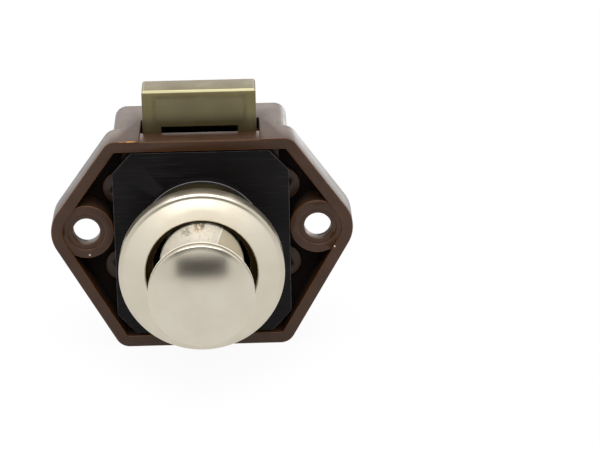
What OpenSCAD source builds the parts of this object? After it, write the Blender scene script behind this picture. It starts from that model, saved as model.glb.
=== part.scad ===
// Pushbutton catch with a sprung bolt, fixed behind a door by two screws.
// Millimetres. X to the right, Z up, the button faces -Y.
// Origin: on the button axis, in the plane of the case rim that lies on the door.
// Pressing the button slides the spindle to the rear; its inclined slot draws the bolt down.

/* [Case] */
// width across the two rounded side corners
case_w = 60; // [56:0.5:66]
// rim top edge above the button axis
case_top = 20.5; // [19.5:0.1:22]
// rim bottom edge below the button axis
case_bottom = 22.9; // [22:0.1:25]
// rim wall thickness
wall = 2.3; // [1.8:0.1:2.6]
// radius of the two side corners
side_r = 7; // [6:0.1:7.5]
// radius of the four other corners
corner_r = 3; // [2.8:0.1:4]
// half distance between the upper corner centres
top_corner_x = 16.5; // [15:0.1:17.5]
// half distance between the lower corner centres
low_corner_x = 15.2; // [14:0.1:16.5]
// depth of the six-sided shell
shell_depth = 8.5; // [8:0.1:10]
// thickness of the pocket floor
floor_t = 1.9; // [1.4:0.1:2.4]
// overall depth of the case
case_depth = 23.8; // [23.6:0.1:28]
// outer width of the rear box
box_w = 34.9; // [34:0.1:37]
// side wall of the rear box
box_wall = 1.85; // [1.4:0.05:2.2]
// thickness of the rear wall
rear_wall = 1.8; // [1.2:0.1:1.8]
// radius of the two upper corners of the rear box
box_corner_r = 2.5; // [1.5:0.1:2.9]

/* [Fixing] */
// distance between the fixing screw holes
screw_spacing = 46; // [45:0.1:47]
// height of the screw line above the button axis
screw_z = 1.7; // [0:0.1:2.5]
// radius of each screw hole
screw_hole_r = 2.7; // [2:0.05:3]
// radius of each screw boss
boss_r = 5.5; // [5.2:0.1:6]
// the boss face lies this far behind the rim plane
boss_step = 0.4; // [0.2:0.1:1]
// radius of the shallow seat around each hole
seat_r = 3.7; // [3.2:0.1:4.2]
// depth of that seat
seat_depth = 0.35; // [0.2:0.05:0.6]
// length of the screw hole behind the seat
screw_web = 3; // [2.5:0.1:4]
// radius of the relief behind the screw hole
boss_relief_r = 4.5; // [4:0.1:4.6]

/* [Plate] */
// width of the retainer plate
plate_w = 34.9; // [33:0.1:35.5]
// top edge of the plate above the button axis
plate_top = 17.85; // [17:0.05:17.9]
// bottom edge of the plate below the button axis
plate_bottom = 20.2; // [19:0.1:20.3]
// thickness of the plate
plate_t = 1.5; // [1.2:0.1:2]
// the plate face lies this far behind the rim plane
plate_step = 0.45; // [0.2:0.05:1]
// size of the corner chamfers along X
chamfer_x = 3.8; // [2:0.1:5]
// size of the corner chamfers along Z
chamfer_z = 4.1; // [2:0.1:5]
// outer radius of the collar at its foot
collar_r = 12.8; // [12.6:0.05:12.95]
// height of the collar over the plate
collar_h = 2.4; // [1.5:0.1:3.5]
// the collar narrows by this much to its rim
collar_taper = 0.2; // [0.1:0.05:0.3]
// sideways place of the four support posts
post_x = 16.3; // [16.2:0.1:16.6]
// half height between the posts
post_dz = 8.2; // [7.5:0.1:9]
// middle height of the posts
post_mid_z = 0.9; // [0:0.1:1.5]
// radius of the posts
post_r = 3.4; // [3:0.1:3.6]
// depth of the post faces behind the rim plane
post_y = 5.6; // [5:0.1:6.2]
// radius of the plate pins pushed into the posts
peg_r = 1.1; // [0.8:0.1:1.1]
// depth of those pins in the posts
peg_len = 1.9; // [1.2:0.1:2.2]

/* [Barrel and rosette] */
// outer radius of the barrel
barrel_r = 12.2; // [12:0.05:12.3]
// bore radius of the barrel
bore_r = 9.4; // [9:0.1:10]
// front end of the barrel ahead of the rim plane
barrel_front = 17; // [16.5:0.1:20]
// radius of the flange behind the plate
barrel_flange_r = 13.1; // [12.8:0.1:13.2]
// thickness of that flange
barrel_flange_t = 1; // [0.8:0.1:1.2]
// door thickness between the rim and the rosette
door_t = 15.8; // [15:0.1:16]
// outer radius of the rosette
rosette_r = 16; // [15.5:0.1:16.8]
// radius of the opening in the rosette
rosette_hole_r = 10.8; // [10.5:0.05:11]
// front end of the straight rosette side ahead of the rim plane
rosette_side = 19.2; // [18.6:0.1:19.3]
// radius where the rounded shoulder of the rosette meets its face
rosette_shoulder_r = 15; // [14.2:0.1:15.2]
// front edge of the rosette opening ahead of the rim plane
rosette_front = 20.1; // [19.9:0.1:20.3]
// the rosette face falls by this much towards its shoulder
rosette_fall = 0.3; // [0.1:0.05:0.5]

/* [Button] */
// radius of the button disc
knob_r = 10.1; // [9.5:0.05:10.3]
// rear of the disc ahead of the rim plane
knob_back = 30.7; // [30:0.1:32]
// thickness of the disc edge
knob_edge = 1.2; // [0.8:0.1:2]
// height of the dome over the disc edge
dome_h = 2.5; // [1.5:0.1:3.5]
// radius of the neck
neck_r = 5; // [4.5:0.1:5.5]
// radius of the rear flange
flange_r = 8.2; // [7.9:0.1:8.6]
// rear face of that flange ahead of the rim plane
flange_back = 13.2; // [12.8:0.1:13.8]
// thickness of the flange edge
flange_edge = 0.8; // [0.6:0.1:1.2]
// fillet from the flange to the neck
flare = 1.2; // [0.5:0.1:2]
// radius of the spindle stud in the button
stem_r = 2.5; // [2:0.1:3]
// length of that stud
stem_len = 14.5; // [12:0.1:16]
// radius of the cross pin through the neck
knob_pin_r = 0.8; // [0.6:0.05:1]
// length of the cross pin
knob_pin_len = 9.4; // [8:0.1:9.6]
// place of the cross pin ahead of the rim plane
knob_pin_y = 24; // [22:0.1:26]

/* [Spindle] */
// travel of the button
press = 10; // [8:0.5:10]
// radius of the round part of the spindle
shaft_r = 5; // [4.5:0.1:5.4]
// width of the flat bar
bar_w = 8; // [7:0.1:8.2]
// height of the flat bar
bar_h = 10.8; // [10.6:0.1:11]
// material behind the cam slot
bar_tip = 1.8; // [1.4:0.1:1.9]
// bolt travel for each millimetre of button travel
draw = 0.6; // [0.5:0.05:0.6]
// thickness of the stop clip
clip_t = 0.8; // [0.6:0.1:1]
// width and height of the stop clip
clip_w = 12.8; // [11.5:0.1:13]
// depth of the clip grooves in the bar
groove = 0.6; // [0.4:0.1:0.8]
// lower end of the clip legs above the button axis
clip_low = 2; // [1.9:0.1:2.4]

/* [Bolt] */
// width of the bolt
bolt_w = 22.6; // [21.5:0.1:22.8]
// depth of the bolt
bolt_d = 7.4; // [7:0.1:7.6]
// front face of the bolt behind the rim plane
bolt_y = 6.1; // [6:0.05:6.3]
// height of the bolt over the case
bolt_out = 8.4; // [7:0.1:9]
// rounding of the upright bolt edges
bolt_round = 0.5; // [0.3:0.1:0.8]
// chamfer of the upper bolt edges
bolt_chamfer = 0.4; // [0.2:0.1:0.6]
// width of the opening between the bolt legs
bolt_gap = 15.2; // [14.6:0.1:15.6]
// top of that opening over the case
gap_over = 0.85; // [0.5:0.05:1.2]
// room between the bar and the cross piece below it
gap_under = 0.8; // [0.5:0.1:1.2]
// height of the cross piece
cross_h = 3.2; // [2.5:0.1:3.2]
// radius of the cam pin
cam_r = 1.25; // [1:0.05:1.3]
// length of the cam pin
cam_len = 21.4; // [20:0.1:22]
// reach of the two stop ears beside the bolt
ear = 1.3; // [0.8:0.1:1.5]
// width of the window in the case top
slot_w = 23.6; // [23.2:0.1:24]
// depth of the shallow step in front of the window
slot_step = 0.25; // [0.1:0.05:0.4]

/* [Springs] */
// mean radius of the button spring
button_spring_r = 7.45; // [7.4:0.05:7.6]
// wire diameter of the button spring
button_wire = 0.8; // [0.6:0.05:0.8]
// turns of the button spring
button_turns = 4; // [3:1:5]
// mean radius of the bolt spring
bolt_spring_r = 3.1; // [2.9:0.05:3.2]
// wire diameter of the bolt spring
bolt_wire = 0.7; // [0.5:0.05:0.8]
// turns of the bolt spring
bolt_turns = 5; // [4:1:5]
// radius of the two pegs inside the bolt spring
peg_spring_r = 2.2; // [1.8:0.1:2.3]
// height of the peg on the case floor
floor_peg = 2.8; // [1.5:0.1:3]
// height of the peg under the bolt
bolt_peg = 1.4; // [0.8:0.1:1.6]

/* [Fits] */
// running clearance of sliding faces
slide_fit = 0.08; // [0.02:0.01:0.1]
// clearance of parts pushed together
push_fit = 0.02; // [0.01:0.01:0.05]
// clearance of the cam pin in its slot
cam_fit = 0.05; // [0.02:0.01:0.08]

/* [Hidden] */
// face count of round parts
FN = 96;
// face count of small round parts
FS = 48;
// overlap that keeps cuts clean
e = 0.01;
// depth of the pocket floor behind the rim plane
floor_y = shell_depth - floor_t;
// inner half width of the rear box
box_in = box_w / 2 - box_wall;
// inner top and bottom of the case
in_top = case_top - wall;
in_low = -case_bottom + wall;
// rear end of the mechanism space
rear_in = case_depth - rear_wall;
// rear face of the plate
plate_back = plate_step + plate_t;
// inner faces of the mechanism opening in the pocket floor, clear of the barrel flange
mouth_gap = 0.4;
mouth = barrel_flange_r + mouth_gap;
// thickness of the walls around that opening
mouth_wall = 1.3;
// the mouth walls stay this far inside the straight plate edges
mouth_edge = 0.2;
mouth_top = plate_top - chamfer_z - mouth_edge;
mouth_low = -plate_bottom + chamfer_z + mouth_edge;
// rear face of the barrel flange
barrel_back = plate_back + barrel_flange_t;
// bolt heights at rest
bolt_top = case_top + bolt_out;
gap_top = case_top + gap_over;
cross_top = -bar_h / 2 - gap_under;
cross_low = cross_top - cross_h;
bolt_mid_y = bolt_y + bolt_d / 2;
// material of the bolt legs in front of the cam pin
cam_cover = 1.25;
// cam pin place at rest
cam_y = bolt_y + cam_cover + cam_r;
cam_z = draw * press / 2;
// room at each end of the cam slot
cam_spare = 0.2;
// rear end of the spindle at rest
bar_back = cam_y + cam_r + bar_tip;
// the round shaft stops this far in front of the barrel's rear wall when pressed
shaft_room = 0.5;
// front end of the bar ahead of the rim plane
bar_front = press - plate_back + shaft_room;
// bolt guide rails, their lips hold the bolt legs in front and behind
rail_in = bolt_w / 2 + slide_fit;
lip_w = 1.9;
lip_in = rail_in - lip_w;
lip_t = 1.45;
// height and depth of the stop ears, and their room to the rails
ear_h = 2.9;
ear_d = 4.6;
ear_gap = 0.2;
ear_top = cross_top - ear_gap;
// room behind the plate pins in the posts and in front of the rails
peg_room = 0.2;
peg_lead = 2;
// room behind the spindle stud in the button
stem_room = 0.2;
// room behind the bolt in the window of the case top
window_back = 0.5;
// room of the stop clip behind the barrel
clip_gap = 0.1;
clip_y = barrel_back + clip_gap;
// front of the barrel rear wall, where the button spring stands
spring_seat = plate_back;
// height where the opening and window reach through the case top
through = 1;
corners = [
    [case_w / 2 - side_r, screw_z, side_r],
    [top_corner_x, case_top - corner_r, corner_r],
    [-top_corner_x, case_top - corner_r, corner_r],
    [-case_w / 2 + side_r, screw_z, side_r],
    [-low_corner_x, -case_bottom + corner_r, corner_r],
    [low_corner_x, -case_bottom + corner_r, corner_r]
];

// the two points where the outer tangent touches neighbouring corner circles
function tangent(a, b, cut) =
    let (d = [b[0] - a[0], b[1] - a[1]], l = norm(d), u = d / l, w = [u[1], -u[0]])
    let (k = (a[2] - b[2]) / l, n = k * u + sqrt(1 - k * k) * w)
    [[a[0], a[1]] + (a[2] - cut) * n, [b[0], b[1]] + (b[2] - cut) * n];

// six-sided outline with rounded corners, drawn in by cut
module outline(cut = 0) {
    sides = [for (i = [0:5]) tangent(corners[i], corners[(i + 1) % 6], cut)];
    polygon([for (s = sides) for (p = s) p]);
    for (c = corners)
        translate([c[0], c[1]])
            circle(r = c[2] - cut, $fn = FS);
}

// extrudes a drawing in X and Z from y to y + depth
module slab(y, depth) {
    translate([0, y + depth, 0])
        rotate([90, 0, 0])
            linear_extrude(height = depth)
                children();
}

// block from corner to corner
module block(x0, x1, y0, y1, z0, z1) {
    translate([x0, y0, z0])
        cube([x1 - x0, y1 - y0, z1 - z0]);
}

// rod along Y from y0 to y1
module rod(x, z, r, y0, y1) {
    translate([x, y1, z])
        rotate([90, 0, 0])
            cylinder(r = r, h = y1 - y0, $fn = FS);
}

// turned shape around the button axis, drawn as [radius, distance ahead of the rim plane]
module turned(points) {
    rotate([90, 0, 0])
        rotate_extrude($fn = FN)
            polygon(points);
}

// both sides of the middle plane
module both() {
    children();
    mirror([1, 0, 0])
        children();
}

// outline of the rear box with rounded upper corners
module box_outline() {
    r = box_corner_r;
    half = box_w / 2;
    polygon([
        [-half, -case_bottom], [half, -case_bottom], [half, case_top - r],
        [half - r, case_top], [-half + r, case_top], [-half, case_top - r]
    ]);
    for (s = [-1, 1])
        translate([s * (half - r), case_top - r])
            circle(r = r, $fn = FS);
}

// coil of round wire standing on z = 0, with closed end rings
module coil(mean_r, wire, turns, length) {
    pitch = (length - wire) / turns;
    sides = 12;
    section = [
        for (i = [0:sides - 1])
            let (a = i * 360 / sides, swing = wire / 2 * sin(a) * 360 / pitch)
            (mean_r + wire / 2 * cos(a)) * [cos(swing), -sin(swing)]
    ];
    translate([0, 0, wire / 2])
        linear_extrude(height = length - wire, twist = -360 * turns, slices = turns * 24)
            polygon(section);
    for (z = [wire / 2, length - wire / 2])
        translate([0, 0, z])
            rotate_extrude($fn = 36)
                translate([mean_r, 0])
                    circle(r = wire / 2, $fn = sides);
}

module screw_boss() {
    rod(screw_spacing / 2, screw_z, boss_r, boss_step, shell_depth);
}

module screw_cuts() {
    web_front = boss_step + seat_depth;
    rod(screw_spacing / 2, screw_z, seat_r, -e, web_front);
    rod(screw_spacing / 2, screw_z, screw_hole_r, -e, shell_depth + e);
    rod(screw_spacing / 2, screw_z, boss_relief_r, web_front + screw_web, shell_depth + e);
}

// guide rail for one side of the bolt, with lips in front of and behind it
module rail() {
    front = bolt_y - slide_fit;
    back = bolt_y + bolt_d + slide_fit;
    difference() {
        union() {
            block(rail_in, box_in + e, front - lip_t, back + lip_t, in_low - e, in_top + e);
            block(lip_in, rail_in + e, front - lip_t, front, in_low - e, in_top + e);
            block(lip_in, rail_in + e, back, back + lip_t, in_low - e, in_top + e);
        }
        block(rail_in - e, rail_in + ear + ear_gap, bolt_mid_y - ear_d / 2 - ear_gap,
            bolt_mid_y + ear_d / 2 + ear_gap, in_low, ear_top + ear_gap / 2);
    }
}

module case() {
    color([0.26, 0.17, 0.13])
    difference() {
        union() {
            case_shell();
            both() rail();
            translate([0, bolt_mid_y, in_low - e])
                cylinder(r = peg_spring_r, h = floor_peg + e, $fn = FS);
        }
        for (s = [-1, 1])
            for (t = [-1, 1])
                rod(s * post_x, post_mid_z + t * post_dz, peg_r + push_fit,
                    bolt_y - lip_t - peg_lead, post_y + peg_len + peg_room);
    }
}

// shell, rear box, bosses and posts with their openings
module case_shell() {
    difference() {
        union() {
            difference() {
                slab(0, shell_depth) outline();
                slab(-e, floor_y + e) outline(wall);
            }
            slab(shell_depth - e, case_depth - shell_depth + e) box_outline();
            both() screw_boss();
            for (s = [-1, 1])
                for (t = [-1, 1])
                    rod(s * post_x, post_mid_z + t * post_dz, post_r, post_y, shell_depth);
            both() block(mouth, mouth + mouth_wall, plate_back, shell_depth, mouth_low, mouth_top);
        }
        block(-mouth, mouth, -e, shell_depth + e, in_low, in_top);
        block(-box_in, box_in, shell_depth, rear_in, in_low, in_top);
        block(-slot_w / 2, slot_w / 2, bolt_y - slide_fit, bolt_y + bolt_d + window_back,
            in_top - e, case_top + through);
        block(-slot_w / 2, slot_w / 2, -e, bolt_y, case_top - slot_step, case_top + through);
        both() screw_cuts();
    }
}

module retainer_plate() {
    half = plate_w / 2;
    color([0.11, 0.1, 0.1])
    difference() {
        union() {
            slab(plate_step, plate_t)
                polygon([
                    [-half, -plate_bottom + chamfer_z], [-half + chamfer_x, -plate_bottom],
                    [half - chamfer_x, -plate_bottom], [half, -plate_bottom + chamfer_z],
                    [half, plate_top - chamfer_z], [half - chamfer_x, plate_top],
                    [-half + chamfer_x, plate_top], [-half, plate_top - chamfer_z]
                ]);
            translate([0, plate_step, 0])
                rotate([90, 0, 0])
                    cylinder(r1 = collar_r, r2 = collar_r - collar_taper, h = collar_h, $fn = FN);
        }
        rotate([90, 0, 0])
            translate([0, 0, -plate_back - e])
                cylinder(r = barrel_r + push_fit, h = plate_back + collar_h + 2 * e, $fn = FN);
    }
    color([0.11, 0.1, 0.1])
    for (s = [-1, 1])
        for (t = [-1, 1])
            rod(s * post_x, post_mid_z + t * post_dz, peg_r, plate_back - e, post_y + peg_len);
}

module barrel() {
    color([0.36, 0.33, 0.23])
    difference() {
        turned([
            [0, -barrel_back], [barrel_flange_r, -barrel_back], [barrel_flange_r, -plate_back],
            [barrel_r, -plate_back], [barrel_r, barrel_front], [bore_r, barrel_front],
            [bore_r, -spring_seat], [0, -spring_seat]
        ]);
        block(-bar_w / 2 - slide_fit, bar_w / 2 + slide_fit, spring_seat - 1, barrel_back + 1,
            -bar_h / 2 - slide_fit, bar_h / 2 + slide_fit);
    }
}

// ring with a nearly flat face and a rounded shoulder
module rosette() {
    socket = barrel_r + push_fit;
    foot = 0.3;
    hole_bevel = 0.2;
    swell = rosette_r - rosette_shoulder_r;
    rise = rosette_front - rosette_fall - rosette_side;
    color([0.78, 0.75, 0.68])
    turned(concat(
        [
            [rosette_hole_r, barrel_front], [socket, barrel_front], [socket, door_t],
            [rosette_r - foot, door_t], [rosette_r, door_t + foot]
        ],
        [for (a = [0:15:90]) [rosette_shoulder_r + swell * cos(a), rosette_side + rise * sin(a)]],
        [
            [rosette_hole_r + hole_bevel, rosette_front],
            [rosette_hole_r, rosette_front - hole_bevel]
        ]
    ));
}

module knob() {
    front = knob_back + knob_edge;
    edge_bevel = 0.25;
    dome_rise = 0.2;
    neck_foot = 1;
    rim = knob_r - edge_bevel;
    dome_foot = front + dome_rise;
    dome_r = (rim * rim + dome_h * dome_h) / (2 * dome_h);
    flange_front = flange_back + flange_edge + edge_bevel;
    color([0.76, 0.73, 0.67])
    difference() {
        union() {
            turned(concat(
                [
                    [0, flange_back], [flange_r, flange_back],
                    [flange_r, flange_back + flange_edge], [flange_r - edge_bevel, flange_front]
                ],
                [for (a = [0:18:90]) [neck_r, flange_front] + flare * [1 - sin(a), 1 - cos(a)]],
                [
                    [neck_r, knob_back - neck_foot],
                    [neck_r + 0.3 * neck_foot, knob_back - 0.3 * neck_foot],
                    [neck_r + neck_foot, knob_back], [rim, knob_back],
                    [knob_r, knob_back + edge_bevel],
                    [knob_r, front], [rim, dome_foot], [0, dome_foot]
                ]
            ));
            rotate([90, 0, 0])
                intersection() {
                    translate([0, 0, dome_foot - e])
                        cylinder(r = rim, h = dome_h + 1, $fn = FN);
                    translate([0, 0, dome_foot + dome_h - dome_r])
                        sphere(r = dome_r, $fn = FN);
                }
        }
        rod(0, 0, stem_r + push_fit, -flange_back - stem_len - stem_room, -flange_back + e);
        translate([0, -knob_pin_y, -neck_r - 1])
            cylinder(r = knob_pin_r + push_fit, h = 2 * neck_r + 2, $fn = FS);
    }
}

module knob_pin() {
    color([0.6, 0.6, 0.6])
    translate([0, -knob_pin_y, -knob_pin_len / 2])
        cylinder(r = knob_pin_r, h = knob_pin_len, $fn = FS);
}

// inclined slot in the spindle bar, with round ends
module cam_slot() {
    r = cam_r + cam_fit;
    run = press * sqrt(1 + draw * draw) + 2 * cam_spare;
    translate([-bar_w, cam_y, cam_z])
        rotate([atan(draw), 0, 0]) {
            translate([0, cam_spare - run, -r])
                cube([2 * bar_w, run, 2 * r]);
            for (y = [cam_spare, cam_spare - run])
                translate([0, y, 0])
                    rotate([0, 90, 0])
                        cylinder(r = r, h = 2 * bar_w, $fn = FS);
        }
}

module spindle() {
    inner = bar_w / 2 - groove;
    color([0.16, 0.15, 0.15])
    difference() {
        union() {
            rod(0, 0, stem_r, -flange_back - stem_len, -flange_back + e);
            rod(0, 0, shaft_r, -flange_back, -bar_front + e);
            block(-bar_w / 2, bar_w / 2, -bar_front, bar_back, -bar_h / 2, bar_h / 2);
        }
        cam_slot();
        both() block(inner, bar_w, clip_y, clip_y + clip_t + push_fit, clip_low - push_fit, bar_h);
        translate([0, -knob_pin_y, -neck_r])
            cylinder(r = knob_pin_r + push_fit, h = 2 * neck_r, $fn = FS);
    }
}

module stop_clip() {
    inner = bar_w / 2 - groove + push_fit;
    color([0.55, 0.56, 0.58])
    difference() {
        block(-clip_w / 2, clip_w / 2, clip_y, clip_y + clip_t, clip_low, clip_w / 2);
        block(-inner, inner, clip_y - 1, clip_y + clip_t + 1, -bar_h, bar_h / 2 + push_fit);
    }
}

module button_spring() {
    color([0.6, 0.6, 0.62])
    translate([0, spring_seat, 0])
        rotate([90, 0, 0])
            coil(button_spring_r, button_wire, button_turns, flange_back + spring_seat);
}

// upright section of the bolt, seen from above, with rounded corners
module bolt_plan(front, back) {
    r = bolt_round;
    hw = bolt_w / 2;
    polygon([
        [-hw + r, front], [hw - r, front], [hw, front + r], [hw, back - r],
        [hw - r, back], [-hw + r, back], [-hw, back - r], [-hw, front + r]
    ]);
    for (x = [-hw + r, hw - r])
        for (y = [front + r, back - r])
            translate([x, y])
                circle(r = r, $fn = 24);
}

// body of the bolt with chamfers round its upper end
module bolt_block() {
    c = bolt_chamfer;
    hw = bolt_w / 2;
    back = bolt_y + bolt_d;
    intersection() {
        translate([0, 0, cross_low])
            linear_extrude(height = bolt_top - cross_low)
                bolt_plan(bolt_y, back);
        slab(bolt_y - 1, bolt_d + 2)
            polygon([
                [-hw - 1, cross_low - 1], [hw + 1, cross_low - 1], [hw + 1, bolt_top - c - 1],
                [hw - c, bolt_top], [-hw + c, bolt_top], [-hw - 1, bolt_top - c - 1]
            ]);
        translate([-hw - 1, 0, 0])
            rotate([90, 0, 90])
                linear_extrude(height = bolt_w + 2)
                    polygon([
                        [bolt_y - 1, cross_low - 1], [back + 1, cross_low - 1],
                        [back + 1, bolt_top - c - 1], [back - c, bolt_top],
                        [bolt_y + c, bolt_top], [bolt_y - 1, bolt_top - c - 1]
                    ]);
    }
}

module bolt() {
    color([0.4, 0.37, 0.27])
    union() {
        difference() {
            bolt_block();
            block(-bolt_gap / 2, bolt_gap / 2, bolt_y - 1, bolt_y + bolt_d + 1, cross_top, gap_top);
            translate([-bolt_w, cam_y, cam_z])
                rotate([0, 90, 0])
                    cylinder(r = cam_r + push_fit, h = 2 * bolt_w, $fn = FS);
        }
        both() block(bolt_w / 2 - 1, bolt_w / 2 + ear, bolt_mid_y - ear_d / 2,
            bolt_mid_y + ear_d / 2, ear_top - ear_h, ear_top);
        translate([0, bolt_mid_y, cross_low - bolt_peg])
            cylinder(r = peg_spring_r, h = bolt_peg + e, $fn = FS);
    }
}

module cam_pin() {
    color([0.6, 0.6, 0.62])
    translate([-cam_len / 2, cam_y, cam_z])
        rotate([0, 90, 0])
            cylinder(r = cam_r, h = cam_len, $fn = FS);
}

module bolt_spring() {
    color([0.6, 0.6, 0.62])
    translate([0, bolt_mid_y, in_low])
        coil(bolt_spring_r, bolt_wire, bolt_turns, cross_low - in_low);
}

case();
retainer_plate();
barrel();
rosette();
knob();
knob_pin();
spindle();
stop_clip();
button_spring();
bolt();
cam_pin();
bolt_spring();
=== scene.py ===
"""Studio scene of a pushbutton catch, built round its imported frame.

The catch is a brown moulded case with a black retainer plate, a sprung bolt of
olive plastic, and a nickel plated knob that slides in a ring on the door front.
Sizes of the catch are written in millimetres and turned into metres once. Places
and sizes of lamps and cards are in metres.
"""

import logging
import math
from dataclasses import dataclass
from enum import Enum
from typing import Optional

import bmesh
import bpy
from mathutils import Matrix, Vector


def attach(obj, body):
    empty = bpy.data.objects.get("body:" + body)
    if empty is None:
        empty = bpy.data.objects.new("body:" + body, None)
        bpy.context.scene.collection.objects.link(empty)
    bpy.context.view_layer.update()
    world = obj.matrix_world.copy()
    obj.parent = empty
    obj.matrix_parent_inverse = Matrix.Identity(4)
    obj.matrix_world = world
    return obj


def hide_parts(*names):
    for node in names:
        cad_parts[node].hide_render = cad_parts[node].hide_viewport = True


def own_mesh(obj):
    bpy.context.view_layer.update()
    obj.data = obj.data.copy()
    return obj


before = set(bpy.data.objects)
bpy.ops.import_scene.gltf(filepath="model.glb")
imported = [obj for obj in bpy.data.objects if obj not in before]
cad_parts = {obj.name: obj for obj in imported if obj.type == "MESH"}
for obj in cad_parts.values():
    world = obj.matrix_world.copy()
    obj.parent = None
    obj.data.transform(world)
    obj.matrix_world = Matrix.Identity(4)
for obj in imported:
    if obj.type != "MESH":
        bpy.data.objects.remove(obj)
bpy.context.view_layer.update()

MM = 0.001
EDGE_ATTRIBUTE = "edge_round"
LOG = logging.getLogger("catch")

Node = bpy.types.Node
Socket = bpy.types.NodeSocket
Piece = bpy.types.Object
Shape = bmesh.types.BMesh
Colour = tuple[float, float, float]
Point = tuple[float, float]
Place = tuple[float, float, float]
Run = tuple[float, float, float, float]

WHITE: Colour = (1.0, 1.0, 1.0)
BLACK: Colour = (0.0, 0.0, 0.0)
SPOT_GRAIN = 1600.0
SPOT_REACH = 1.5
SHARP_DEGREES = 30.0
ROUND_FACETS = 3
SMOOTH_DEGREES = 40.0
TURN_FACETS = 192
ARC_STEPS = 14


def screen(red: int, green: int, blue: int) -> Colour:
    """Turn an 8-bit screen colour into linear light.

    Args:
        red: Red of 0 to 255.
        green: Green of 0 to 255.
        blue: Blue of 0 to 255.

    Returns:
        The linear red, green and blue of 0 to 1.
    """

    def one(value: int) -> float:
        """Linear value of one channel."""
        part = value / 255
        return part / 12.92 if part <= 0.04045 else ((part + 0.055) / 1.055) ** 2.4

    return one(red), one(green), one(blue)


def rgba(colour: Colour) -> tuple[float, float, float, float]:
    """Add full opacity to a colour."""
    return (*colour, 1.0)


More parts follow.
